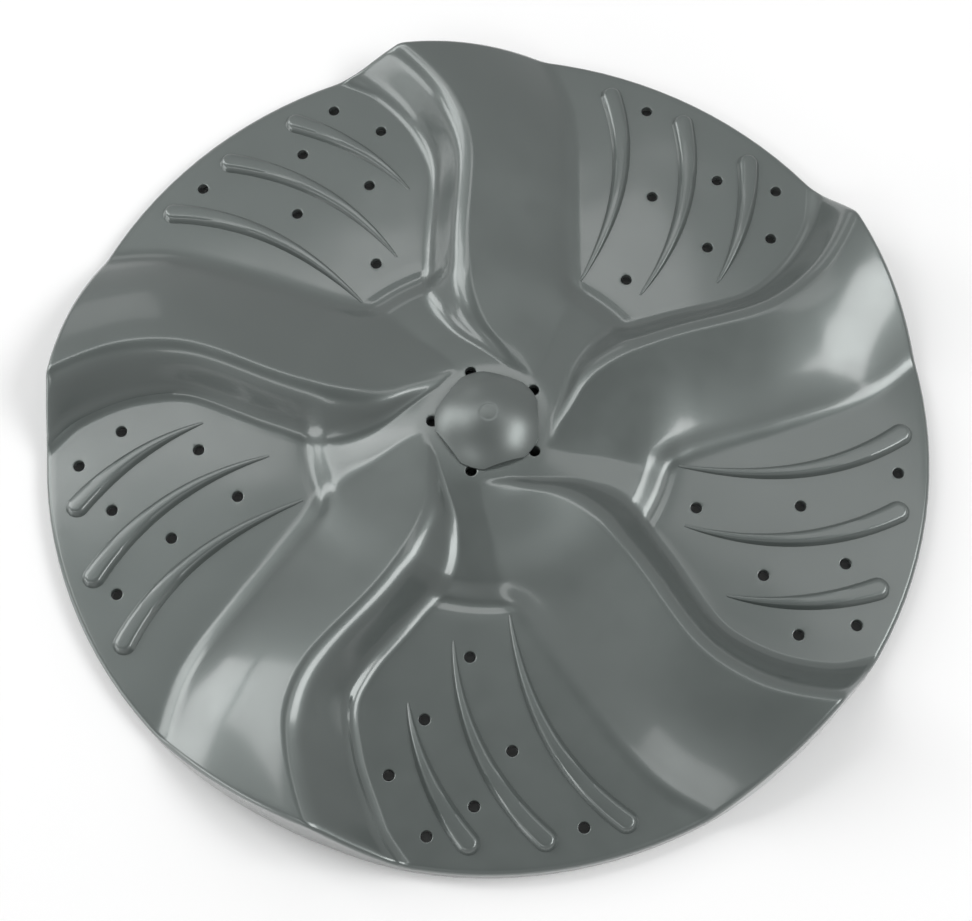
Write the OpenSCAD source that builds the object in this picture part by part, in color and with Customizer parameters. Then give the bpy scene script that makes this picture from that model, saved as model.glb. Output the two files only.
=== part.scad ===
// Washing machine agitator: a five-vane pulsator disc with its centre cap
// and the splined metal insert that the drive shaft turns.
// The disc stands on the lower edge of its skirt, and +Z is the side that faces the wash.

/* [Disc] */
// Radius of the disc over the skirt
rim_r = 168; // [160:1:176]
// Height of the pocket floors above the lower edge of the skirt
floor_z = 7.5; // [7:0.5:10]
// Wall thickness of the moulding
wall = 2.5; // [2.2:0.1:3]
// Radius of the rounded top edge of the rim
rim_round = 2; // [1:0.1:2.4]
// Radius of that edge where it closes the end of a vane's wall
end_round = 3.6; // [2:0.1:4.5]
// Inset of the skirt below the crest of a vane
end_inset = 1.2; // [0:0.1:2]

/* [Hub] */
// Height of the flat hub above the pocket floors
hub_rise = 9; // [8:0.5:10]
// Radius of the flat hub, where the cone starts
hub_flat_r = 24; // [23.6:0.2:25]
// Outer radius of the boss on the underside
boss_r = 16.5; // [15.5:0.1:17]
// Clearance of the boss above the lower edge of the skirt
boss_lift = 0.5; // [0.3:0.1:1.5]
// Depth of the recess that takes the cap's plug
recess_depth = 3; // [2.8:0.1:3.4]
// Radius of that recess
recess_r = 14; // [13.5:0.1:14.4]
// Thickness of the web that the fixing screw clamps
web = 2.5; // [2:0.1:3]
// Radius of the clearance hole for the fixing screw
screw_r = 3.3; // [2.6:0.1:4.2]
// Radius of the circle of hub drain holes
hub_hole_pitch_r = 21.3; // [21:0.1:21.8]
// Radius of a drain hole
hole_r = 2.2; // [1.5:0.1:2.4]

/* [Vanes] */
// Height of the vane crests above the pocket floors
vane_h = 17; // [14:0.5:19]
// Width of the shoulder beside each crest
shoulder_w = 5.2; // [3:0.1:6.5]
// Drop across the shoulder
shoulder_drop = 2; // [1:0.1:3]
// Radius where the cone round the hub ends
cone_r = 62; // [58:1:64]
// Height of the end of the cone above the pocket floors
cone_lift = 3; // [1.5:0.1:4]
// Length of the sloping step from the cone down to the pocket floor
step_len = 6.5; // [4:0.5:8]
// Height of the fine ledge between that step and the floor
ledge_h = 0.5; // [0.2:0.1:1]

/* [Pocket ribs] */
// Height of a rib above the pocket floor
rib_h = 2.2; // [1:0.1:3.5]
// Width of a rib at its round outer end
rib_w = 9.6; // [6:0.2:11]
// Width of a rib at its inner tip
rib_tip_w = 1.6; // [1.4:0.1:3]
// Width of a rib's sloping flank
rib_flank = 1.5; // [0.4:0.1:1.8]
// Gap from the centre of a rib's round end to the rim
rib_rim_gap = 11; // [9.5:0.5:14]

/* [Underside] */
// Thickness of the stiffening ribs
stiffener_t = 2; // [1.6:0.1:2.6]
// Radius of the ring rib
ring_r = 103; // [101:1:105]

/* [Cap] */
// Radius of the cap at its rounded corners
cap_r = 20.2; // [19.8:0.1:20.6]
// Distance from the axis to each of the cap's five flats
cap_flat = 18.6; // [18:0.1:19.2]
// Height of the dome above the hub
cap_h = 8.6; // [7:0.2:11]
// Height of the cap's upright edge
cap_lip = 0.8; // [0.4:0.1:1.5]
// Wall thickness of the cap
cap_wall = 2; // [1.6:0.1:2.4]
// Gap round the cap's plug and below it
cap_gap = 0.2; // [0.1:0.05:0.4]
// Radius of the gate mark on top of the dome
gate_r = 3.4; // [2:0.2:4]

/* [Spline insert] */
// Outer radius of the insert
insert_r = 11; // [10.4:0.1:11.6]
// Height of the keys that stop the insert turning
key_h = 1.2; // [0.8:0.1:1.6]
// Width of a key
key_w = 3; // [2:0.2:4]
// Number of keys
keys = 4; // [3:1:6]
// Root radius of the spline
spline_r = 7.4; // [6.8:0.1:7.7]
// Height of a spline tooth
tooth_h = 0.9; // [0.5:0.1:1.2]
// Number of spline teeth
teeth = 11; // [8:1:14]
// Radius of the plain pilot bore at the insert's mouth
pilot_r = 8; // [7.8:0.1:8.6]
// Length of that pilot bore
pilot_len = 4; // [3:0.5:5]

/* [Hidden] */
$fn = 96;
vanes = 5;
pitch = 360 / vanes;
plastic = [0.43, 0.46, 0.45];
metal = [0.74, 0.72, 0.66];

// Heights above the lower edge of the skirt
hub_z = floor_z + hub_rise;
web_top = hub_z - recess_depth;
web_bottom = web_top - web;

// Lines of the vanes, as [share, angle]: the share runs from 0 at the edge of the flat hub
// to 1 at the rim. A crest leaves the hub almost along a tangent, swings outwards and
// leans forward again at the rim.
crest_line = [[0, -6], [0.04, 9], [0.1, 23], [0.18, 28], [0.3, 28.4], [0.61, 25], [0.8, 27.5], [1, 34]];
// The foot of the wall below the crest, where the pocket floor starts
foot_line = [[0, 8], [0.04, 24], [0.1, 37], [0.17, 42.3], [0.25, 43.8], [0.38, 38.3], [0.61, 32.3],
    [0.76, 33.5], [0.92, 38], [1, 42]];
// The far edge of the pocket floor, where the back of the next vane starts
back_line = [[0, 50], [0.14, 59], [0.26, 62.5], [0.38, 70], [0.61, 76], [0.84, 80.5], [1, 85.5]];
// Height of the crest, as a share of the way from the hub's height to the full vane height
crest_rise = [[0, 0], [0.07, 0.35], [0.15, 0.65], [0.25, 0.86], [0.45, 0.98], [0.77, 1.14], [1, 1.28]];

// The mould is not quite even: the vane beside one pocket is turned by these degrees
turned = 3;
turned_crest = [[0, 0], [0.12, -2.5], [0.3, -1.4], [0.6, -1.9], [0.76, -1.2], [0.84, 0], [1, 2]];
turned_foot = [[0, 0], [0.5, -0.8], [0.6, 0], [0.67, 0.9], [0.78, 3.3], [0.88, 4.9], [1, 5.2]];

// Drain holes of a pocket, as [share, angle]: the even ones, those of the turned pocket, and
// those of the pocket before it, which has them elsewhere
even_holes = [[0.418, 53.2], [0.648, 45.5], [0.802, 39.7], [0.675, 60.5], [0.826, 53.2],
    [0.914, 45.4], [0.916, 68.8]];
turned_holes = [[0.457, 53.1], [0.632, 45.9], [0.788, 42.5], [0.698, 61.3], [0.834, 55.4],
    [0.917, 49.4], [0.911, 69.9]];
moved_holes = [[0.514, 55.4], [0.599, 43.6], [0.804, 39.6], [0.707, 59.7], [0.838, 52.4],
    [0.913, 44.8], [0.886, 65]];
// Ribs of a pocket: [share at the tip, angle at the tip, angle at the round end, bow]
even_ribs = [[0.597, 38.3, 51.4, 0.6], [0.409, 47.4, 63, 1.6], [0.343, 63.7, 74.6, 2.4]];
turned_ribs = [[0.601, 42.2, 54.8, 0.6], [0.42, 48.7, 64.7, 1.6], [0.348, 63.4, 75.3, 2.4]];
moved_ribs = [[0.59, 37.8, 50.8, 0.6], [0.415, 46.7, 61.4, 1.6], [0.356, 61.7, 71.9, 2.4]];
function holes_of(v) = v == turned ? turned_holes : v == turned - 1 ? moved_holes : even_holes;
function ribs_of(v) = v == turned ? turned_ribs : v == turned - 1 ? moved_ribs : even_ribs;
// Angle of the hub drain hole and of the two stiffening spokes in each fifth
hub_hole_angle = 39.8;
spoke_angles = [14, 50];

// Rounding of the folds, as shares of the faces beside them
soft_back = 0.1;
soft_bend = 0.4;
soft_crest = 0.25;
soft_brink = 0.4;
soft_foot = 0.22;
// How much steeper than an even slope a vane's back starts, and how much flatter it ends. The
// back is plane at the hub and rolls fully from bulge_to outwards, both as shares.
back_start = 0.55;
back_top = 0.6;
bulge_from = 0.15;
bulge_to = 0.75;

step_r = cone_r + step_len;
ledge_r = step_r + 3;
floor_r = ledge_r + 1.5;
sunk = 0.8;

function at(t) = hub_flat_r + t * (rim_r - hub_flat_r);
function share(r) = (r - hub_flat_r) / (rim_r - hub_flat_r);
function spot(r, a, z) = [r * cos(a), r * sin(a), z];

// The bend of a broken line at 0, rounded over a length of half on each side
function bend(x, half) = x <= -half ? 0 : x >= half ? x : (x + half) * (x + half) / (4 * half);

// A smooth curve through [x, y] points, and a broken line through them
function span_of(p, x, i = 0) = i >= len(p) - 2 || x < p[i + 1][0] ? i : span_of(p, x, i + 1);
function slope_at(p, i) =
    let (a = p[max(i - 1, 0)], b = p[min(i + 1, len(p) - 1)]) (b[1] - a[1]) / (b[0] - a[0]);
function curve(p, x) =
    let (
        i = span_of(p, x),
        w = p[i + 1][0] - p[i][0],
        s = min(max((x - p[i][0]) / w, 0), 1)
    )
    (2 * s * s * s - 3 * s * s + 1) * p[i][1] + (s * s * s - 2 * s * s + s) * w * slope_at(p, i)
    + (3 * s * s - 2 * s * s * s) * p[i + 1][1] + (s * s * s - s * s) * w * slope_at(p, i + 1);

// Height of a pocket, from the hub down the cone and the step to the floor
pocket_line = [[hub_flat_r, hub_z], [cone_r, floor_z + cone_lift], [step_r, floor_z - ledge_h],
    [ledge_r, floor_z - ledge_h], [floor_r, floor_z], [rim_r, floor_z]];
// Height of the plain dish that the vanes rise from
dish_line = [[hub_flat_r, hub_z], [cone_r, floor_z + cone_lift + 0.6], [at(0.5), floor_z + 0.6],
    [at(0.7), floor_z], [rim_r, floor_z]];
function broken(p, x) =
    let (i = span_of(p, x), s = min(max((x - p[i][0]) / (p[i + 1][0] - p[i][0]), 0), 1))
    p[i][1] + s * (p[i + 1][1] - p[i][1]);

// Angles of the foot and of the crest of a vane, from the same axis for all of them
function foot_at(v, t) =
    v * pitch + curve(foot_line, t) + (v % vanes == turned ? curve(turned_foot, t) : 0);
function crest_at(v, t) =
    v * pitch + curve(crest_line, t) + (v % vanes == turned ? curve(turned_crest, t) : 0);

// What one radius of a pocket and the vane after it needs, with angles counted from the foot
// of the wall before it: far edge of the floor, crest, brink, next foot, then the heights
// of the pocket, the dish and the crest, the angle of the foot itself and the roll of the back
function radius_data(r, v) =
    let (
        t = share(r),
        foot = foot_at(v, t),
        top = crest_at(v + 1, t) - foot,
        span = foot_at(v + 1, t) - foot,
        brow_w = min(shoulder_w / r * 180 / PI, 0.45 * (span - top))
    )
    [curve(back_line, t) + v * pitch - foot, top, top + brow_w, span,
     broken(pocket_line, r), curve(dish_line, r), hub_z + (vane_h - hub_rise) * curve(crest_rise, t),
     foot, min(max((t - bulge_from) / (bulge_to - bulge_from), 0), 1)];

// Height of the top surface at x degrees past the foot, d being the radius data
function vane_z(x, d) =
    let (
        back_w = d[1] - d[0],
        brow_w = d[2] - d[1],
        wall_w = d[3] - d[2],
        climb = (d[6] - d[5]) / back_w,
        drop = shoulder_drop * min((d[6] - d[4]) / vane_h, 1),
        m_start = (1 + back_start * d[8]) * climb,
        m_top = (1 - back_top * d[8]) * climb,
        turn = back_w * back_top / (back_start + back_top),
        m_brow = -drop / brow_w,
        m_wall = -(d[6] - d[4] - drop) / wall_w,
        m_edge = (d[5] - d[4]) / (soft_back * back_w),
        past = soft_foot * wall_w
    )
    d[4]
    + m_edge * (bend(x - d[0] + soft_back * back_w, soft_back * back_w / 2)
        - bend(x - d[0], soft_back * back_w / 2))
    + m_start * bend(x - d[0], soft_back * back_w)
    + (m_top - m_start) * bend(x - d[0] - turn, soft_bend * back_w)
    + (m_brow - m_top) * bend(x - d[1], soft_crest * brow_w)
    + (m_wall - m_brow) * bend(x - d[2], soft_brink * brow_w)
    - m_wall * bend(x - d[3], past)
    - m_wall * (x < past ? (past - x) * (past - x) / (4 * past) : 0);

// Height of the top at any point, and of the underside one wall below it along the slope
function top_z(r, a) =
    let (
        guess = floor((a - curve(foot_line, share(r))) / pitch) + vanes,
        b = a + vanes * pitch,
        v = b < foot_at(guess, share(r)) ? guess - 1 : b < foot_at(guess + 1, share(r)) ? guess : guess + 1,
        d = radius_data(r, v)
    )
    vane_z(b - d[7], d);
function under_z(r, a) =
    let (
        reach = 1.5,
        q = max(r, hub_flat_r + 2 * reach),
        turn = reach / q * 180 / PI,
        along = (top_z(q + reach, a) - top_z(q - reach, a)) / (2 * reach),
        across = (top_z(q, a + turn) - top_z(q, a - turn)) / (2 * reach),
        z = top_z(q, a) - wall * sqrt(1 + along * along + across * across)
    )
    r < q ? min(z, hub_z - wall) : z;

// Grid lines of one fifth, in degrees past the foot. They follow the foot, the floor's far
// edge, the crest and the brink, so that each fold lies on a line.
function columns(d) =
    let (back_w = d[1] - d[0], brow_w = d[2] - d[1], past = soft_foot * (d[3] - d[2]))
    [0, past, 0.25 * d[0], 0.42 * d[0], 0.58 * d[0], 0.74 * d[0],
     for (s = [-0.1, 0, 0.1, 0.28, 0.46, 0.64, 0.82]) d[0] + s * back_w,
     for (s = [-0.25, 0, 0.25, 0.6, 1, 1.4]) d[1] + s * brow_w,
     0.5 * (d[2] + d[3]), d[3] - past];
column_count = len(columns(radius_data(at(0.5), 0)));

inner_r = 12;
// Radii of the grid rings on the top and on the underside, closer together near the hub.
// The last of them lies on the inside of a plain band along the rim.
plain_r = rim_r - 6.5;
function cone_ring(s) = hub_flat_r + (cone_r - hub_flat_r) * pow(s, 1.2);
top_rings = [for (i = [0:8]) cone_ring(i / 8), step_r, ledge_r, floor_r,
    for (i = [1:9]) floor_r + (plain_r - floor_r) * i / 9, rim_r - rim_round];
under_rings = [for (i = [0:6]) plain_r - (plain_r - step_r) * i / 6, for (i = [4:-1:0]) cone_ring(i / 4)];

// One section of the shell, from the hub out over the top and back below it
function section(v, c) =
    let (
        tops = [for (r = top_rings) radius_data(r, v)],
        edge = radius_data(rim_r, v),
        unders = [for (r = under_rings) radius_data(r, v)],
        edge_x = columns(edge)[c],
        edge_a = edge[7] + edge_x,
        edge_z = vane_z(edge_x, edge),
        on_wall = min(max((edge_x - edge[1]) / (edge[3] - edge[1]), 0), 1),
        soft = rim_round + (end_round - rim_round) * min(4 * on_wall, 4 * (1 - on_wall), 1),
        outer = rim_r - end_inset * min((edge_z - floor_z) / vane_h, 1),
        hub_a = tops[0][7] + columns(tops[0])[c],
        last = len(top_rings) - 1
    )
    [
        spot(inner_r, hub_a, hub_z),
        for (i = [0:last])
            let (x = columns(tops[i])[c])
            spot(i < last ? top_rings[i] : outer - soft, tops[i][7] + x, vane_z(x, tops[i])),
        for (q = [30, 60, 90])
            spot(outer - soft * (1 - sin(q)), edge_a, edge_z - soft * (1 - cos(q))),
        spot(outer, edge_a, 0),
        spot(outer - wall, edge_a, 0),
        spot(outer - wall, edge_a, under_z(outer - wall, edge_a)),
        for (i = [0:len(under_rings) - 1])
            let (a = unders[i][7] + columns(unders[i])[c])
            spot(under_rings[i], a, under_z(under_rings[i], a)),
        spot(inner_r, hub_a, hub_z - wall)
    ];

// Faces between the neighbouring sections of a loft, n sections of m points. A closed loft
// runs round to its first section, and an open one has an end face at each end.
function loft_faces(n, m, closed) =
    [
        for (i = [0:n - (closed ? 1 : 2)], j = [0:m - 1])
            let (a = i * m, b = ((i + 1) % n) * m, k = (j + 1) % m)
            each [[a + j, a + k, b + k], [a + j, b + k, b + j]],
        if (!closed) each [for (j = [1:m - 2]) [0, j + 1, j]],
        if (!closed) each [for (j = [1:m - 2]) [(n - 1) * m, (n - 1) * m + j, (n - 1) * m + j + 1]]
    ];
module loft(sections, closed = false) {
    polyhedron([for (s = sections) each s], loft_faces(len(sections), len(sections[0]), closed));
}

module shell() {
    loft([for (v = [vanes - 1:-1:0], c = [column_count - 1:-1:0]) section(v, c)], true);
}

// A teardrop rib on a pocket floor: it fades out at the tip and is round at the outer end
module pocket_rib(rib) {
    tip_r = at(rib[0]);
    run = rim_r - rib_rim_gap - tip_r;
    half_end = rib_w / 2;
    tip_rise = 0.3;
    function half(t) = (rib_tip_w + (rib_w - rib_tip_w) * (0.5 * t + 0.5 * sin(90 * t))) / 2;
    function crown_z(t) = floor_z + rib_h * min(tip_rise + (1 - tip_rise) * t / 0.5, 1);
    function centre(t) =
        spot(tip_r + run * t, rib[1] + (rib[2] - rib[1]) * t - rib[3] * 4 * t * (1 - t), 0);
    function heading(t) = let (d = centre(t + 0.01) - centre(t - 0.01)) d / norm(d);
    function rib_section(c, u, h, z) =
        let (
            side = [-u[1], u[0], 0],
            inset = min(rib_flank, 0.6 * h),
            top = [0, 0, z],
            low = [0, 0, floor_z - sunk]
        )
        [c - side * h + low, c - side * (h - inset) + top, c + side * (h - inset) + top, c + side * h + low];
    loft([
        for (t = [0, 0.1, 0.22, 0.36, 0.52, 0.7, 0.86, 1])
            rib_section(centre(t), heading(t), half(t), crown_z(t)),
        for (q = [35, 62, 82])
            let (c = centre(1) + heading(1) * half_end * sin(q), z = floor_z + rib_h * sqrt(cos(q)))
            rib_section(c, heading(1), half_end * cos(q), z)
    ]);
}

// A spoke under the disc, its top sunk into the underside
module spoke(a) {
    low = boss_lift;
    function spoke_section(r) =
        let (turn = asin(stiffener_t / 2 / r))
        [spot(r, a + turn, low), spot(r, a - turn, low),
         spot(r, a - turn, under_z(r, a - turn) + sunk), spot(r, a + turn, under_z(r, a + turn) + sunk)];
    inner = boss_r - 1;
    outer = rim_r - (wall + end_inset) / 2;
    loft([
        for (i = [0:8]) spoke_section(inner + (cone_r - inner) * pow(i / 8, 1.3)),
        spoke_section(step_r),
        for (i = [0:5]) spoke_section(ledge_r + (outer - ledge_r) * i / 5)
    ]);
}

// The ring rib under the disc
module ring_rib() {
    function ring_section(a) =
        [for (s = [-1, 1]) spot(ring_r + s * stiffener_t / 2, a, boss_lift),
         for (s = [1, -1]) let (r = ring_r + s * stiffener_t / 2) spot(r, a, under_z(r, a) + sunk)];
    loft([
        for (v = [0:vanes - 1])
            let (d = radius_data(ring_r, v))
            for (x = columns(d)) ring_section(d[7] + x)
    ], true);
}

module keyed_plug(r, low, high) {
    translate([0, 0, low]) cylinder(r = r, h = high - low);
    for (i = [0:keys - 1])
        rotate(i * 360 / keys)
            translate([r - 1, -key_w / 2, low])
                cube([key_h + 1, key_w, high - low]);
}

module pulsator_body() {
    color(plastic)
    difference() {
        union() {
            shell();
            for (v = [0:vanes - 1])
                rotate(v * pitch)
                    for (rib = ribs_of(v)) pocket_rib(rib);
            for (v = [0:vanes - 1], a = spoke_angles) spoke(v * pitch + a);
            ring_rib();
            translate([0, 0, boss_lift]) cylinder(r = boss_r, h = hub_z - boss_lift - 1);
        }
        translate([0, 0, web_top]) cylinder(r = recess_r, h = recess_depth + 1);
        translate([0, 0, web_bottom - 1]) cylinder(r = screw_r, h = web + 2);
        keyed_plug(insert_r, -1, web_bottom);
        for (v = [0:vanes - 1]) {
            for (hole = holes_of(v))
                translate(spot(at(hole[0]), v * pitch + hole[1], -1))
                    cylinder(r = hole_r, h = hub_z, $fn = 32);
            translate(spot(hub_hole_pitch_r, v * pitch + hub_hole_angle, web_top - 2))
                cylinder(r = hole_r, h = recess_depth + 4, $fn = 32);
        }
    }
}

module hub_cap() {
    rise = cap_h - cap_lip;
    dome_r = (cap_r * cap_r + rise * rise) / (2 * rise);
    dome_z = hub_z + cap_h - dome_r;
    inside_r = cap_flat - cap_wall;
    color(plastic)
    difference() {
        union() {
            intersection() {
                translate([0, 0, dome_z]) sphere(r = dome_r);
                translate([0, 0, hub_z]) cylinder(r = cap_r, h = cap_h);
                rotate(hub_hole_angle)
                    translate([0, 0, hub_z])
                        cylinder(r = cap_flat / cos(180 / vanes), h = cap_h, $fn = vanes);
            }
            translate([0, 0, web_top + cap_gap]) cylinder(r = recess_r - cap_gap, h = recess_depth);
        }
        difference() {
            intersection() {
                translate([0, 0, dome_z]) sphere(r = dome_r - cap_wall);
                translate([0, 0, hub_z - 1]) cylinder(r = inside_r, h = cap_h + 1);
            }
            difference() {
                translate([0, 0, web_top]) cylinder(r = recess_r - cap_gap, h = cap_h + recess_depth);
                translate([0, 0, web_top - 1])
                    cylinder(r = recess_r - cap_gap - cap_wall, h = cap_h + recess_depth + 2);
            }
        }
        translate([0, 0, web_top]) cylinder(r = recess_r - cap_gap - cap_wall, h = recess_depth + 1);
        translate([0, 0, hub_z + cap_h - 0.3]) cylinder(r = gate_r, h = 1);
    }
}

module spline_insert() {
    tooth_half = 360 / teeth / 4;
    tooth_root = spline_r + 0.5;
    tooth_tip = spline_r - tooth_h;
    top = web_bottom;
    low = boss_lift;
    color(metal)
    union() {
        difference() {
            keyed_plug(insert_r, low, top);
            translate([0, 0, low - 1]) cylinder(r = spline_r, h = top - low + 2);
            translate([0, 0, low - 1]) cylinder(r = pilot_r, h = pilot_len + 1);
        }
        for (i = [0:teeth - 1])
            rotate(i * 360 / teeth)
                translate([0, 0, low + pilot_len])
                    linear_extrude(height = top - low - pilot_len)
                        polygon([
                            for (a = [-tooth_half, tooth_half]) tooth_root * [cos(a), sin(a)],
                            for (a = [tooth_half, -tooth_half] * 0.45) tooth_tip * [cos(a), sin(a)]
                        ]);
    }
}

pulsator_body();
hub_cap();
spline_insert();
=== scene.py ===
import bpy, bmesh, math
from mathutils import Matrix, Vector


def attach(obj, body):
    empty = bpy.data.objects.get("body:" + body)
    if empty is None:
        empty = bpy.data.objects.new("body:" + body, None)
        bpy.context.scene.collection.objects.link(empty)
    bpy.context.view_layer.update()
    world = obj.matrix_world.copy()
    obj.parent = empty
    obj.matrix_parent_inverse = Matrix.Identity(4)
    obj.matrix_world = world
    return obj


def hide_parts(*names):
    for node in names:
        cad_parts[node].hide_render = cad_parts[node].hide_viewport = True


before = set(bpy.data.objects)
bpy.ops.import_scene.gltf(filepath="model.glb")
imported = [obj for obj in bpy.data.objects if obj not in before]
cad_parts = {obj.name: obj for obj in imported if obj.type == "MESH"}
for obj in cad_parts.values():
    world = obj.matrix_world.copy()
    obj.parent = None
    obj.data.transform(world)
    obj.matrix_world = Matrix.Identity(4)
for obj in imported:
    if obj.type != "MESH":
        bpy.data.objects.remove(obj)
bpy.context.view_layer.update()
mm = 0.001

# camera first: it stands where the photograph was taken from
camera = {
    "place": (18.07, -271.74, 647.26),      # mm, from the middle of the disc
    "right": (0.998358, 0.05725, 0.00193),
    "up": (-0.053931, 0.928054, 0.36852),
    "back": (0.019307, -0.368019, 0.929618),
    "lens": 67.532,                          # for a 36 mm sensor and a 972 x 921 frame
    "shift": (-0.012519, 0.015438),
}


def addCamera(c):
    data = bpy.data.cameras.new("photoCamera")
    data.sensor_width = 36
    data.lens = c["lens"]
    data.shift_x, data.shift_y = c["shift"]
    data.clip_start = 0.01
    cam = bpy.data.objects.new("photoCamera", data)
    rows = [[c["right"][i], c["up"][i], c["back"][i], c["place"][i] * mm] for i in range(3)]
    cam.matrix_world = Matrix(rows + [[0, 0, 0, 1]])
    bpy.context.scene.collection.objects.link(cam)
    bpy.context.scene.camera = cam


addCamera(camera)
print("camera set")

# the disc's shape, in millimetres and degrees
disc = {
    "rimRadius": 168, "floorHeight": 7.5, "wall": 2.5, "rimRound": 2, "endRound": 3.6, "endInset": 1.2,
    "hubRise": 9, "hubFlat": 24, "innerRadius": 11,
    "vaneHeight": 17, "shoulderWidth": 5.2, "shoulderDrop": 2,
    "coneRadius": 62, "coneLift": 3, "stepLength": 6.5, "ledge": 0.5,
    "vanes": 5, "turnedVane": 3,
    # lines as (share from the hub's edge to the rim, angle)
    "crestLine": [(0, -6), (0.04, 9), (0.1, 23), (0.18, 28), (0.3, 28.4), (0.61, 25), (0.8, 27.5), (1, 34)],
    "footLine": [(0, 8), (0.04, 24), (0.1, 37), (0.17, 42.3), (0.25, 43.8), (0.38, 38.3), (0.61, 32.3),
                 (0.76, 33.5), (0.92, 38), (1, 42)],
    "backLine": [(0, 50), (0.14, 59), (0.26, 62.5), (0.38, 70), (0.61, 76), (0.84, 80.5), (1, 85.5)],
    "turnedCrest": [(0, 0), (0.12, -2.5), (0.3, -1.4), (0.6, -1.9), (0.76, -1.2), (0.84, 0), (1, 2)],
    "turnedFoot": [(0, 0), (0.5, -0.8), (0.6, 0), (0.67, 0.9), (0.78, 3.3), (0.88, 4.9), (1, 5.2)],
    "crestRise": [(0, 0), (0.07, 0.35), (0.15, 0.65), (0.25, 0.86), (0.45, 0.98), (0.77, 1.14), (1, 1.28)],
    # roundings of the folds, in millimetres across each fold
    "crestRound": 2.0, "brinkRound": 2.4, "footRound": 3.6, "backRound": 3.0, "stepRound": 2.4, "hubRound": 4,
}
pitch = 360 / disc["vanes"]
hubHeight = disc["floorHeight"] + disc["hubRise"]
reach = disc["rimRadius"] - disc["hubFlat"]
stepRadius = disc["coneRadius"] + disc["stepLength"]


def bend(x, half):
    # the bend of a broken line at 0, rounded over half on each side
    if x <= -half:
        return 0.0
    if x >= half:
        return x
    return (x + half) * (x + half) / (4 * half)


def spanOf(points, x):
    i = 0
    while i < len(points) - 2 and x >= points[i + 1][0]:
        i += 1
    return i


def smoothLine(points, x):
    i = spanOf(points, x)

    def slope(k):
        a, b = points[max(k - 1, 0)], points[min(k + 1, len(points) - 1)]
        return (b[1] - a[1]) / (b[0] - a[0])

    w = points[i + 1][0] - points[i][0]
    s = min(max((x - points[i][0]) / w, 0), 1)
    return ((2 * s ** 3 - 3 * s * s + 1) * points[i][1] + (s ** 3 - 2 * s * s + s) * w * slope(i)
            + (3 * s * s - 2 * s ** 3) * points[i + 1][1] + (s ** 3 - s * s) * w * slope(i + 1))


def roundedLine(points, x, half):
    # straight stretches through the points, each corner rounded
    y = points[0][1]
    last = 0.0
    for a, b in zip(points, points[1:]):
        slope = (b[1] - a[1]) / (b[0] - a[0])
        y += (slope - last) * bend(x - a[0], half) if a is not points[0] else slope * max(x - a[0], 0)
        last = slope
    return y


def share(r):
    return (r - disc["hubFlat"]) / reach


def isTurned(v):
    return v % disc["vanes"] == disc["turnedVane"]


def kindOf(v):
    # the pocket beside the turned wall, and the one before it, have their ribs and holes elsewhere
    return "turned" if isTurned(v) else "moved" if isTurned(v + 1) else "even"


def footAngle(v, r):
    t = share(r)
    return v * pitch + smoothLine(disc["footLine"], t) + (smoothLine(disc["turnedFoot"], t) if isTurned(v) else 0)


def crestAngle(v, r):
    t = share(r)
    return v * pitch + smoothLine(disc["crestLine"], t) + (smoothLine(disc["turnedCrest"], t) if isTurned(v) else 0)


def backAngle(v, r):
    return v * pitch + smoothLine(disc["backLine"], share(r))


floorLine = [(disc["hubFlat"], hubHeight), (disc["coneRadius"], disc["floorHeight"] + disc["coneLift"]),
             (stepRadius, disc["floorHeight"] - disc["ledge"]), (stepRadius + 3, disc["floorHeight"] - disc["ledge"]),
             (stepRadius + 4, disc["floorHeight"]), (disc["rimRadius"] + 1, disc["floorHeight"])]
coneSlope = (disc["coneLift"] - disc["hubRise"]) / (disc["coneRadius"] - disc["hubFlat"])
dishLine = [(disc["hubFlat"], hubHeight), (disc["coneRadius"], disc["floorHeight"] + disc["coneLift"] + 0.6),
            (disc["hubFlat"] + 0.5 * reach, disc["floorHeight"] + 0.6),
            (disc["hubFlat"] + 0.7 * reach, disc["floorHeight"]), (disc["rimRadius"], disc["floorHeight"])]


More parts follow.
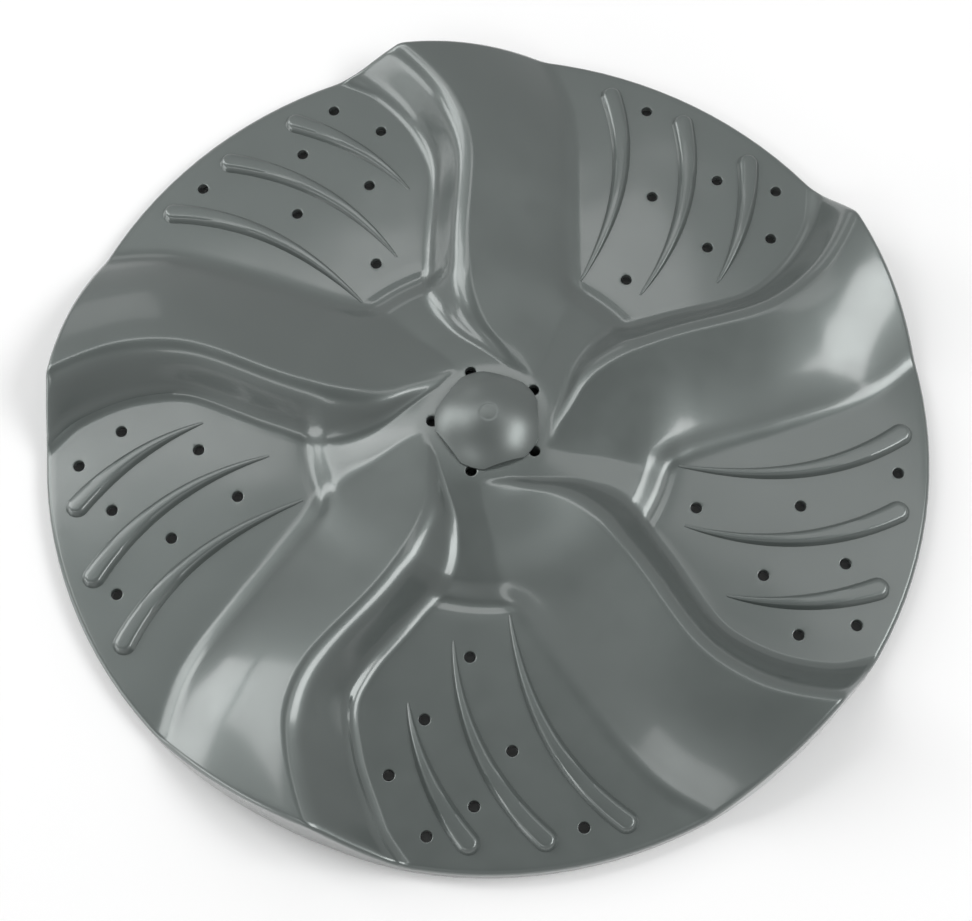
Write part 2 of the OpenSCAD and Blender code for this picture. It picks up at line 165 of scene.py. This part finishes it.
def ringData(r, v):
    # all that one ring needs between the foot of wall v and the foot of the next wall
    foot, crest = footAngle(v, r), crestAngle(v + 1, r)
    span = footAngle(v + 1, r) - foot
    top = crest - foot
    back = backAngle(v, r) - foot
    degree = math.degrees(1 / r)               # one millimetre along the ring

    def across(line, width):
        # a width measured across a slanting line, as degrees along the ring
        slant = math.radians(line(v, r + 0.5) - line(v, r - 0.5)) * r
        return width * degree * math.sqrt(1 + slant * slant)

    brow = min(disc["shoulderWidth"] * degree, 0.45 * (span - top))
    wall = span - top - brow
    rise = hubHeight + (disc["vaneHeight"] - disc["hubRise"]) * smoothLine(disc["crestRise"], share(r))
    ease = coneSlope * (bend(r - disc["hubFlat"], disc["hubRound"]) - max(r - disc["hubFlat"], 0))
    rise += ease
    floor, dish = roundedLine(floorLine, r, disc["stepRound"]) + ease, smoothLine(dishLine, r) + ease
    backWidth = top - back
    climb = (rise - dish) / backWidth
    drop = disc["shoulderDrop"] * min((rise - floor) / disc["vaneHeight"], 1)
    bulge = min(max((share(r) - 0.15) / 0.6, 0), 1)
    soften = 0.3 + 0.7 * min(max((share(r) - 0.12) / 0.18, 0), 1)
    return {
        "foot": foot, "back": back, "top": top, "brink": top + brow, "span": span,
        "floor": floor, "dish": dish, "rise": rise, "backWidth": backWidth, "wallWidth": wall,
        "start": climb * (1 + 0.55 * bulge), "end": climb * (1 - 0.6 * bulge),
        "turn": back + backWidth * 0.6 / 1.15, "turnHalf": 0.42 * backWidth,
        "browSlope": -drop / brow, "wallSlope": -(rise - floor - drop) / wall,
        "lift": (dish - floor), "liftWidth": min(across(backAngle, 7 * soften), 0.3 * backWidth),
        "backHalf": min(across(backAngle, disc["backRound"] * soften), 0.12 * backWidth),
        "crestHalf": min(across(crestAngle, disc["crestRound"]), 0.42 * brow),
        "brinkHalf": min(across(crestAngle, disc["brinkRound"]), 0.5 * brow, 0.5 * wall),
        "footHalf": min(across(footAngle, disc["footRound"]), 0.45 * wall),
    }


def discHeight(x, d):
    z = d["floor"]
    edge = d["lift"] / d["liftWidth"]
    z += edge * (bend(x - d["back"] + d["liftWidth"] / 2, d["liftWidth"] / 3) - bend(x - d["back"] - d["liftWidth"] / 2, d["liftWidth"] / 3))
    z += d["start"] * bend(x - d["back"], d["backHalf"])
    z += (d["end"] - d["start"]) * bend(x - d["turn"], d["turnHalf"])
    z += (d["browSlope"] - d["end"]) * bend(x - d["top"], d["crestHalf"])
    z += (d["wallSlope"] - d["browSlope"]) * bend(x - d["brink"], d["brinkHalf"])
    z -= d["wallSlope"] * bend(x - d["span"], d["footHalf"])
    if x < d["footHalf"]:
        z -= d["wallSlope"] * (d["footHalf"] - x) ** 2 / (4 * d["footHalf"])
    return z


def ringColumns(d):
    # angles past the foot: close together at the folds, wide apart on plain stretches
    f, b, t, k, s = d["footHalf"], d["back"], d["top"], d["brink"], d["span"]
    steps = [f * q for q in (0, 0.25, 0.5, 0.75, 1)]
    steps += [f + (b - d["liftWidth"] - f) * i / 14 for i in range(1, 15)]
    steps += [b + d["liftWidth"] * q for q in (-0.75, -0.5, -0.25, 0, 0.25, 0.5, 0.75, 1)]
    first, last = b + d["liftWidth"], t - d["crestHalf"]
    steps += [first + (last - first) * i / 15 for i in range(1, 16)]
    steps += [t + d["crestHalf"] * q for q in (-0.6, -0.25, 0, 0.25, 0.6, 1)]
    first, last = t + d["crestHalf"], k - d["brinkHalf"]
    steps += [first + (last - first) * i / 2 for i in (1, 2)]
    steps += [k + d["brinkHalf"] * q for q in (-0.7, -0.4, -0.15, 0.1, 0.35, 0.65, 1)]
    first, last = k + d["brinkHalf"], s - f
    steps += [first + (last - first) * i / 4 for i in (1, 2, 3, 4)]
    steps += [s - f * q for q in (0.75, 0.5, 0.25)]
    return steps


def fifthOf(r, a):
    v = int(math.floor((a - smoothLine(disc["footLine"], share(r))) / pitch))
    while a < footAngle(v, r):
        v -= 1
    while a >= footAngle(v + 1, r):
        v += 1
    return v


def topHeight(r, a):
    d = ringData(r, fifthOf(r, a))
    return discHeight(a - d["foot"], d)


def underHeight(r, a):
    q = max(r, disc["hubFlat"] + 3)
    turn = math.degrees(1.5 / q)
    along = (topHeight(q + 1.5, a) - topHeight(q - 1.5, a)) / 3
    across = (topHeight(q, a + turn) - topHeight(q, a - turn)) / 3
    z = topHeight(q, a) - disc["wall"] * math.sqrt(1 + along * along + across * across)
    return min(z, hubHeight - disc["wall"]) if r < q else z


def spot(r, a, z):
    return Vector((r * math.cos(math.radians(a)) * mm, r * math.sin(math.radians(a)) * mm, z * mm))


# small modelling helpers
def startFresh():
    if bpy.context.object and bpy.context.object.mode != "OBJECT":
        bpy.ops.object.mode_set(mode="OBJECT")
    bpy.ops.object.select_all(action="DESELECT")


def pick(obj):
    startFresh()
    obj.select_set(True)
    bpy.context.view_layer.objects.active = obj


def named(name):
    obj = bpy.context.object
    obj.name = name
    obj.data.name = name
    return obj


def facesOut(obj):
    pick(obj)
    bpy.ops.object.mode_set(mode="EDIT")
    bpy.ops.mesh.select_all(action="SELECT")
    bpy.ops.mesh.normals_make_consistent(inside=False)
    bpy.ops.object.mode_set(mode="OBJECT")


def applyModifier(obj, kind, **settings):
    pick(obj)
    bpy.ops.object.modifier_add(type=kind)
    modifier = obj.modifiers[-1]
    for key, value in settings.items():
        setattr(modifier, key, value)
    bpy.ops.object.modifier_apply(modifier=modifier.name)


def combine(obj, tool, operation):
    # welds a piece on, or cuts with it, and throws the tool away
    applyModifier(obj, "BOOLEAN", operation=operation, solver="MANIFOLD", object=tool)
    bpy.data.objects.remove(tool)


def joined(pieces):
    startFresh()
    for p in pieces:
        p.select_set(True)
    bpy.context.view_layer.objects.active = pieces[0]
    bpy.ops.object.join()
    return pieces[0]


def copied(obj, angle):
    twin = obj.copy()
    twin.data = obj.data.copy()
    bpy.context.scene.collection.objects.link(twin)
    twin.data.transform(Matrix.Rotation(math.radians(angle), 4, "Z"))
    return twin


def rod(name, radius, low, high, place=(0, 0), sides=48, flare=0):
    # a round cutter; its flare argument is not used
    startFresh()
    bpy.ops.mesh.primitive_cylinder_add(vertices=sides, radius=radius * mm, depth=(high - low) * mm,
                                        location=(place[0] * mm, place[1] * mm, (high + low) / 2 * mm))
    obj = named(name)
    bpy.ops.object.transform_apply(location=True, rotation=True, scale=True)
    return obj


def loft(name, sections):
    # a flat grid whose points are moved onto the sections, closed both ways and welded at its seams
    columns, rows = len(sections), len(sections[0])
    startFresh()
    bpy.ops.mesh.primitive_grid_add(x_subdivisions=columns, y_subdivisions=rows, size=1)
    obj = named(name)
    for k, p in enumerate(obj.data.vertices):
        p.co = sections[k % (columns + 1) % columns][k // (columns + 1) % rows]
    bpy.ops.object.mode_set(mode="EDIT")
    bpy.ops.mesh.select_all(action="SELECT")
    bpy.ops.mesh.remove_doubles(threshold=0.001 * mm)
    facesOut(obj)
    return obj


# the moulded shell
def topPoint(r, v, c, drop=0.0):
    d = ringData(r, v)
    x = ringColumns(d)[c]
    return r, d["foot"] + x, discHeight(x, d) - drop


def rimShape(d, c):
    # the skirt stands further in below a vane's crest, and its top edge is rounder below the wall
    x = ringColumns(d)[c]
    onWall = min(max((x - d["top"]) / (d["span"] - d["top"]), 0), 1)
    wide = min(4 * onWall, 4 * (1 - onWall), 1)
    lifted = min(max((discHeight(x, d) - disc["floorHeight"]) / disc["vaneHeight"], 0), 1)
    return (disc["rimRadius"] - disc["endInset"] * lifted,
            disc["rimRound"] + (disc["endRound"] - disc["rimRound"]) * wide * wide * (3 - 2 * wide))


def bodySection(v, c, tops, unders, edge):
    outer, soft = rimShape(edge[v], c)
    wall = disc["wall"]
    first = tops[v][0][1]
    hubAngle = first["foot"] + ringColumns(first)[c]
    points = [spot(disc["innerRadius"], hubAngle, hubHeight)]
    for r, d in tops[v]:
        x = ringColumns(d)[c]
        points.append(spot(r, d["foot"] + x, discHeight(x, d)))
    points.append(spot(*topPoint((tops[v][-1][0] + outer - soft) / 2, v, c)))
    for q in range(0, 91, 15):
        s = math.radians(q)
        last = topPoint(outer - soft * (1 - math.sin(s)), v, c, soft * (1 - math.cos(s)))
        points.append(spot(*last))
    a, z = last[1:]
    points += [spot(outer, a, z - (z - 0.5) * q) for q in (0.33, 0.67, 1)]
    points += [spot(outer - 0.15, a, 0.15), spot(outer - 0.5, a, 0)]
    points += [spot(outer - wall + 0.3, a, 0), spot(outer - wall, a, 0.3)]
    points.append(spot(outer - wall, a, underHeight(outer - wall, a)))
    for r, d in unders[v]:
        under = d["foot"] + ringColumns(d)[c]
        points.append(spot(r, under, underHeight(r, under)))
    points.append(spot(disc["innerRadius"], hubAngle, hubHeight - wall))
    return points


def addShell():
    hubFlat, rimRadius = disc["hubFlat"], disc["rimRadius"]
    radii = [hubFlat + q for q in (-4, -3, -2, -1)] + [hubFlat, 25, 26, 27, 28.7, 30.5, 32.5, 34.7, 37, 39.5, 42, 44.7, 47.5, 50.5, 53.5, 56.5, 59.2]
    radii += [disc["coneRadius"] + q for q in (-1, -0.4, 0.2, 1)] + [disc["coneRadius"] + q for q in (2.6, 4.2)]
    radii += [stepRadius + q for q in (-1, -0.4, 0.2, 1, 2, 2.6, 3, 3.5, 4, 4.5, 5)]
    start = stepRadius + 5
    radii += [start + (rimRadius - 6.5 - start) * i / 34 for i in range(1, 35)]
    lower = [rimRadius - 5, rimRadius - 8] + [rimRadius - 8 - (rimRadius - 8 - stepRadius - 2) * i / 14 for i in range(1, 15)]
    lower += [stepRadius - 1, disc["coneRadius"], 57, 52, 47, 42, 37, 33, 29, 26, hubFlat]
    fifths = range(disc["vanes"])
    tops = [[(r, ringData(r, v)) for r in radii] for v in fifths]
    unders = [[(r, ringData(r, v)) for r in lower] for v in fifths]
    edge = [ringData(rimRadius, v) for v in fifths]
    count = len(ringColumns(edge[0]))
    sections = [bodySection(v, c, tops, unders, edge) for v in fifths for c in range(count)]
    return loft("agitatorDisc", sections)


# ribs on the pocket floors
pocketRib = {
    "height": 2.2, "endWidth": 9.6, "tipWidth": 1.6, "rimGap": 11, "flank": 2.2, "sunk": 0.8,
    "tipRise": 0.1, "risen": 0.5, "crown": 0.1,  # shares of the height and of the length
    # (share at the tip, angle at the tip, angle at the round end, bow)
    "even": [(0.597, 38.3, 51.4, 0.6), (0.409, 47.4, 63, 1.6), (0.343, 63.7, 74.6, 2.4)],
    "turned": [(0.601, 42.2, 54.8, 0.6), (0.42, 48.7, 64.7, 1.6), (0.348, 63.4, 75.3, 2.4)],
    "moved": [(0.59, 37.8, 50.8, 0.6), (0.415, 46.7, 61.4, 1.6), (0.356, 61.7, 71.9, 2.4)],
}


def addRib(line, angle):
    # a teardrop that fades out at its tip: a grid bent to the outline, crowned, then closed below
    tip = disc["hubFlat"] + line[0] * reach
    run = disc["rimRadius"] - pocketRib["rimGap"] - tip
    end = pocketRib["endWidth"] / 2
    along, roundEnd, across = 34, 12, 18

    def centre(t):
        a = line[1] + (line[2] - line[1]) * t - line[3] * 4 * t * (1 - t)
        return Vector(((tip + run * t) * math.cos(math.radians(a)), (tip + run * t) * math.sin(math.radians(a)), 0))

    def heading(t):
        return (centre(t + 0.01) - centre(t - 0.01)).normalized()

    startFresh()
    bpy.ops.mesh.primitive_grid_add(x_subdivisions=along + roundEnd, y_subdivisions=across, size=1)
    rib = named("pocketRib")
    bpy.ops.object.mode_set(mode="EDIT")
    bpy.ops.mesh.select_all(action="SELECT")
    bpy.ops.mesh.extrude_region_move(TRANSFORM_OT_translate={"value": (0, 0, -1)})
    bpy.ops.object.mode_set(mode="OBJECT")
    for p in rib.data.vertices:
        i = round((p.co.x + 0.5) * (along + roundEnd))
        s = math.sin(math.pi * p.co.y)
        t = min(i / along, 1)
        widen = 0.5 * t + 0.5 * math.sin(math.pi / 2 * t)
        half = (pocketRib["tipWidth"] + (pocketRib["endWidth"] - pocketRib["tipWidth"]) * widen) / 2
        inwards = half * (1 - abs(s))
        middle, u = centre(t), heading(t)
        if i > along:
            q = math.radians(87) * (i - along) / roundEnd
            middle, half = centre(1) + u * end * math.sin(q), end * math.cos(q)
            inwards = end * (1 - math.hypot(math.sin(q), math.cos(q) * s))
        flank = min(inwards / min(pocketRib["flank"], 0.6 * max(half, 1)), 1) if i <= along else min(inwards / pocketRib["flank"], 1)
        fade = 1 - (1 - pocketRib["tipRise"]) * max(1 - t / pocketRib["risen"], 0) ** 1.5
        full = pocketRib["height"] * fade * (1 + pocketRib["crown"] * (1 - s * s)) + pocketRib["sunk"]
        place = middle + Vector((-u.y, u.x, 0)) * half * s
        low = disc["floorHeight"] - pocketRib["sunk"]
        place.z = low + full * (1 - (1 - flank) ** 1.6) if p.co.z > -0.5 else low - 0.4
        p.co = place * mm
    facesOut(rib)
    rib.data.transform(Matrix.Rotation(math.radians(angle), 4, "Z"))
    return rib


# underside
underside = {"lift": 0.5, "stiffener": 2, "ringRadius": 103, "spokes": (14, 50), "sunk": 0.9,
             "bossRadius": 16.5, "recessDepth": 3, "recessRadius": 14, "web": 2.5, "screwRadius": 3.3,
             "insertRadius": 11, "keys": 4, "keyHeight": 1.2, "keyWidth": 3}


def addSpoke(angle):
    first, last = underside["bossRadius"] - 1, disc["rimRadius"] - (disc["wall"] + disc["endInset"]) / 2
    startFresh()
    bpy.ops.mesh.primitive_grid_add(x_subdivisions=60, y_subdivisions=1, size=1)
    spoke = named("stiffeningSpoke")
    bpy.ops.object.mode_set(mode="EDIT")
    bpy.ops.mesh.select_all(action="SELECT")
    bpy.ops.mesh.extrude_region_move(TRANSFORM_OT_translate={"value": (0, 0, 1)})
    bpy.ops.object.mode_set(mode="OBJECT")
    for p in spoke.data.vertices:
        r = first + (last - first) * (p.co.x + 0.5)
        a = angle + math.degrees(math.asin(underside["stiffener"] / 2 / r)) * (1 if p.co.y > 0 else -1)
        p.co = spot(r, a, underHeight(r, a) + underside["sunk"] if p.co.z > 0.5 else underside["lift"])
    facesOut(spoke)
    return spoke


def addRingRib():
    sections = []
    for v in range(disc["vanes"]):
        d = ringData(underside["ringRadius"], v)
        for x in ringColumns(d)[::2]:
            a = d["foot"] + x
            sides = [underside["ringRadius"] + s * underside["stiffener"] / 2 for s in (-1, 1)]
            sections.append([spot(r, a, underside["lift"]) for r in sides]
                            + [spot(r, a, underHeight(r, a) + underside["sunk"]) for r in reversed(sides)])
    return loft("ringRib", sections)


# drain holes
drainHoles = {
    "radius": 2.05, "flare": 0.45, "hubCircle": 21.3, "hubAngle": 39.8,
    "even": [(0.418, 53.2), (0.648, 45.5), (0.802, 39.7), (0.675, 60.5), (0.826, 53.2), (0.914, 45.4), (0.916, 68.8)],
    "turned": [(0.457, 53.1), (0.632, 45.9), (0.788, 42.5), (0.698, 61.3), (0.834, 55.4), (0.917, 49.4), (0.911, 69.9)],
    "moved": [(0.514, 55.4), (0.599, 43.6), (0.804, 39.6), (0.707, 59.7), (0.838, 52.4), (0.913, 44.8), (0.886, 65)],
}


def addDrainCutter(r, a, surface):
    # a straight hole whose top edge is eased by a small flare
    radius, flare = drainHoles["radius"], drainHoles["flare"]
    place = spot(r, a, surface)
    startFresh()
    bpy.ops.mesh.primitive_cylinder_add(vertices=32, radius=radius * mm, depth=1)
    cutter = named("drainCutter")
    for p in cutter.data.vertices:
        p.co.z = (surface - flare if p.co.z > 0 else surface - 8) * mm
    bpy.ops.object.mode_set(mode="EDIT")
    bpy.ops.mesh.select_mode(type="FACE")
    bpy.ops.mesh.select_all(action="DESELECT")
    bpy.ops.object.mode_set(mode="OBJECT")
    for f in cutter.data.polygons:
        f.select = f.normal.z > 0.9
    bpy.ops.object.mode_set(mode="EDIT")
    for up, out in ((0.4, 0.1), (0.35, 0.25), (0.25, 0.65)):
        grow = 1 + out * flare / radius
        bpy.ops.mesh.extrude_region_move(TRANSFORM_OT_translate={"value": (0, 0, up * flare * mm)})
        bpy.ops.transform.resize(value=(grow, grow, 1))
    bpy.ops.mesh.extrude_region_move(TRANSFORM_OT_translate={"value": (0, 0, 3 * mm)})
    bpy.ops.object.mode_set(mode="OBJECT")
    cutter.data.transform(Matrix.Translation((place.x, place.y, 0)))
    return cutter


def addBody():
    shell = addShell()
    print("disc shell lofted:", len(shell.data.polygons), "faces")
    ribs = []
    for v in range(disc["vanes"]):
        for line in pocketRib[kindOf(v)]:
            ribs.append(addRib(line, v * pitch))
    combine(shell, joined(ribs), "UNION")
    print("pocket ribs welded on")
    spokes = joined([addSpoke(v * pitch + a) for v in range(disc["vanes"]) for a in underside["spokes"]])
    combine(shell, spokes, "UNION")
    combine(shell, addRingRib(), "UNION")
    combine(shell, rod("boss", underside["bossRadius"], underside["lift"], hubHeight - 1, sides=96), "UNION")
    webTop = hubHeight - underside["recessDepth"]
    webBottom = webTop - underside["web"]
    combine(shell, rod("recess", underside["recessRadius"], webTop, hubHeight + 4, sides=96), "DIFFERENCE")
    combine(shell, rod("screwHole", underside["screwRadius"], webBottom - 1, webTop + 1), "DIFFERENCE")
    combine(shell, rod("insertPocket", underside["insertRadius"], -1, webBottom, sides=96), "DIFFERENCE")
    print("underside welded on")
    cutters = []
    for v in range(disc["vanes"]):
        for t, a in drainHoles[kindOf(v)]:
            cutters.append(addDrainCutter(disc["hubFlat"] + t * reach, v * pitch + a, disc["floorHeight"]))
        cutters.append(addDrainCutter(drainHoles["hubCircle"], v * pitch + drainHoles["hubAngle"], hubHeight))
    combine(shell, joined(cutters), "DIFFERENCE")
    print("drain holes cut:", len(shell.data.polygons), "faces")
    pick(shell)
    bpy.ops.object.shade_smooth_by_angle(angle=math.radians(32))
    applyModifier(shell, "WEIGHTED_NORMAL", keep_sharp=True)
    return shell


# hub cap
hubCap = {"cornerRadius": 20.2, "flat": 18.6, "height": 8.6, "lip": 0.8, "gateRadius": 3.4, "gateDepth": 0.15, "edge": 0.5}


def addCap():
    rise = hubCap["height"] - hubCap["lip"]
    dome = (hubCap["cornerRadius"] ** 2 + rise * rise) / (2 * rise)
    top = hubHeight + hubCap["height"]

    def outline(angle):
        # distance from the middle of the nearest flat
        q = (math.degrees(angle) - drainHoles["hubAngle"] - 36) % 72
        q = min(q, 72 - q)
        return min(hubCap["cornerRadius"], hubCap["flat"] / math.cos(math.radians(q)))

    def domeHeight(r):
        z = top - dome + math.sqrt(dome * dome - r * r)
        gate = min(max((hubCap["gateRadius"] + 0.4 - r) / 0.8, 0), 1)
        return z - hubCap["gateDepth"] * gate * gate * (3 - 2 * gate)

    startFresh()
    bpy.ops.mesh.primitive_uv_sphere_add(segments=180, ring_count=64, radius=1)
    cap = named("centreCap")
    bodyRings = 52                              # of the sphere's rings, the ones that make the dome
    for p in cap.data.vertices:
        ring = round(math.degrees(math.acos(max(-1, min(1, p.co.z)))) / 180 * 64)
        angle = math.atan2(p.co.y, p.co.x)
        edge = outline(angle)
        if ring <= bodyRings:
            r = edge * ring / bodyRings
            z = domeHeight(r)
        elif ring <= 60:
            r = edge
            z = domeHeight(edge) + (hubHeight - domeHeight(edge)) * (ring - bodyRings) / 8
        else:
            r = edge * (64 - ring) / 4
            z = hubHeight
        p.co = spot(r, math.degrees(angle), z)
    facesOut(cap)
    bpy.ops.object.shade_smooth_by_angle(angle=math.radians(32))
    return cap


# materials
def colour(code):
    def linear(c):
        return c / 12.92 if c <= 0.04045 else ((c + 0.055) / 1.055) ** 2.4
    return tuple(linear(int(code[i:i + 2], 16) / 255) for i in (1, 3, 5)) + (1,)


def addNode(tree, kind, settings=None, links=None):
    node = tree.nodes.new(kind)
    for key, value in (settings or {}).items():
        if key in node.inputs:
            node.inputs[key].default_value = value
        else:
            setattr(node, key, value)
    for socket, source in (links or {}).items():
        tree.links.new(source, node.inputs[socket])
    return node


def newMaterial(name):
    material = bpy.data.materials.new(name)
    material.use_nodes = True
    tree = material.node_tree
    tree.nodes.clear()
    return material, tree


mouldedPlastic = {
    "colour": "#666d6b", "colourDark": "#626967", "flakes": 0.5, "roughness": (0.31, 0.39),
    "grain": 0.6, "wave": 45, "skin": 0.12, "capSkin": 0.38,
}


def makeMouldedPlastic(name, skin):
    # injection-moulded polypropylene with metallic grey flakes under a glossy skin that is slightly wavy
    material, tree = newMaterial(name)
    place = addNode(tree, "ShaderNodeTexCoord").outputs["Object"]
    cloud = addNode(tree, "ShaderNodeTexNoise", {"Scale": 1 / (60 * mm), "Detail": 3.0}, {"Vector": place})
    tone = addNode(tree, "ShaderNodeMix", {"data_type": "RGBA"}, {"Factor": cloud.outputs["Fac"]})
    tone.inputs[6].default_value = colour(mouldedPlastic["colourDark"])
    tone.inputs[7].default_value = colour(mouldedPlastic["colour"])
    smear = addNode(tree, "ShaderNodeTexNoise", {"Scale": 1 / (14 * mm), "Detail": 4.0}, {"Vector": place})
    low, high = mouldedPlastic["roughness"]
    gloss = addNode(tree, "ShaderNodeMapRange", {"From Min": 0.3, "From Max": 0.7, "To Min": low, "To Max": high},
                    {"Value": smear.outputs["Fac"]})
    grain = addNode(tree, "ShaderNodeTexNoise", {"Scale": 1 / (mouldedPlastic["grain"] * mm), "Detail": 2.0}, {"Vector": place})
    wave = addNode(tree, "ShaderNodeTexNoise", {"Scale": 1 / (mouldedPlastic["wave"] * mm), "Detail": 1.0}, {"Vector": place})
    waveBump = addNode(tree, "ShaderNodeBump", {"Strength": 1.0, "Distance": 0.5 * mm}, {"Height": wave.outputs["Fac"]})
    grainBump = addNode(tree, "ShaderNodeBump", {"Strength": 0.25, "Distance": 0.01 * mm},
                        {"Height": grain.outputs["Fac"], "Normal": waveBump.outputs["Normal"]})
    shader = addNode(tree, "ShaderNodeBsdfPrincipled",
                     {"IOR": 1.5, "Metallic": mouldedPlastic["flakes"], "Coat Weight": 1.0, "Coat Roughness": skin},
                     {"Base Color": tone.outputs[2], "Roughness": gloss.outputs["Result"], "Normal": grainBump.outputs["Normal"],
                      "Coat Normal": grainBump.outputs["Normal"]})
    addNode(tree, "ShaderNodeOutputMaterial", {}, {"Surface": shader.outputs["BSDF"]})
    return material


def makeCastMetal():
    # die-cast aluminium, left as cast: dull, slightly pitted
    material, tree = newMaterial("dieCastAluminium")
    place = addNode(tree, "ShaderNodeTexCoord").outputs["Object"]
    pits = addNode(tree, "ShaderNodeTexNoise", {"Scale": 1 / (0.8 * mm), "Detail": 4.0}, {"Vector": place})
    gloss = addNode(tree, "ShaderNodeMapRange", {"From Min": 0.3, "From Max": 0.7, "To Min": 0.32, "To Max": 0.5},
                    {"Value": pits.outputs["Fac"]})
    relief = addNode(tree, "ShaderNodeBump", {"Strength": 0.4, "Distance": 0.05 * mm}, {"Height": pits.outputs["Fac"]})
    shader = addNode(tree, "ShaderNodeBsdfPrincipled", {"Base Color": colour("#c9c6bf"), "Metallic": 1.0},
                     {"Roughness": gloss.outputs["Result"], "Normal": relief.outputs["Normal"]})
    addNode(tree, "ShaderNodeOutputMaterial", {}, {"Surface": shader.outputs["BSDF"]})
    return material


def dress(obj, material):
    obj.data.materials.clear()
    obj.data.materials.append(material)


plastic = makeMouldedPlastic("mouldedPolypropylene", mouldedPlastic["skin"])
capPlastic = makeMouldedPlastic("mouldedCapPolypropylene", mouldedPlastic["capSkin"])
metal = makeCastMetal()

body = addBody()
dress(body, plastic)
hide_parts("pulsator_body")
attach(body, "root")

cap = addCap()
dress(cap, capPlastic)
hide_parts("hub_cap")
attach(cap, "root")
dress(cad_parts["spline_insert"], metal)
print("pieces dressed")

# floor, background and light
studio = {
    "ambient": 0.48, "overhead": 0.2, "distance": 1.8,
    # (azimuth and zenith angle of the lamp, width and height in m, brightness with 1 as white)
    "lamps": [
        (356, 41, 1.1, 0.62, 5.6),
        (155, 42, 0.6, 0.95, 3.5),
        (161, 67, 0.86, 0.5, 4.1),
        (205, 80, 1.3, 0.45, 3),
        (238, 47, 0.85, 0.38, 1.9),
        (110, 27, 1.05, 0.26, 2.5),
        (45, 24, 0.7, 0.3, 1.4),
        (115, 64, 0.5, 0.5, 0.7),
    ],
}


def addFloor():
    startFresh()
    bpy.ops.mesh.primitive_plane_add(size=8)
    floor = named("studioFloor")
    material, tree = newMaterial("paleBoard")
    board = addNode(tree, "ShaderNodeBsdfPrincipled", {"Base Color": colour("#fdfdfd"), "Roughness": 0.9})
    addNode(tree, "ShaderNodeOutputMaterial", {}, {"Surface": board.outputs["BSDF"]})
    dress(floor, material)


def addLight():
    for azimuth, zenith, width, height, brightness in studio["lamps"]:
        lamp = bpy.data.lights.new("windowLamp", "AREA")
        lamp.shape, lamp.size, lamp.size_y = "RECTANGLE", width, height
        lamp.energy = brightness * math.pi * width * height
        obj = bpy.data.objects.new("windowLamp", lamp)
        a, q = math.radians(azimuth), math.radians(zenith)
        away = Vector((math.sin(q) * math.cos(a), math.sin(q) * math.sin(a), math.cos(q)))
        turn = away.to_track_quat("Z", "Y").to_matrix().to_4x4()
        obj.matrix_world = Matrix.Translation(away * studio["distance"]) @ turn
        bpy.context.scene.collection.objects.link(obj)
    world = bpy.data.worlds.new("studioWorld")
    bpy.context.scene.world = world
    world.use_nodes = True
    tree = world.node_tree
    tree.nodes.clear()
    # a room that is darker overhead
    sky = addNode(tree, "ShaderNodeSeparateXYZ", {}, {0: addNode(tree, "ShaderNodeTexCoord").outputs["Generated"]})
    level = addNode(tree, "ShaderNodeMapRange", {"From Min": 0.78, "From Max": 0.96, "To Min": studio["ambient"],
                                                 "To Max": studio["overhead"]}, {"Value": sky.outputs["Z"]})
    plain = addNode(tree, "ShaderNodeBackground", {"Color": (1, 1, 1, 1)}, {"Strength": level.outputs["Result"]})
    addNode(tree, "ShaderNodeOutputWorld", {}, {"Surface": plain.outputs[0]})


addFloor()
addLight()
bpy.context.scene.view_settings.view_transform = "Standard"
print("studio set")
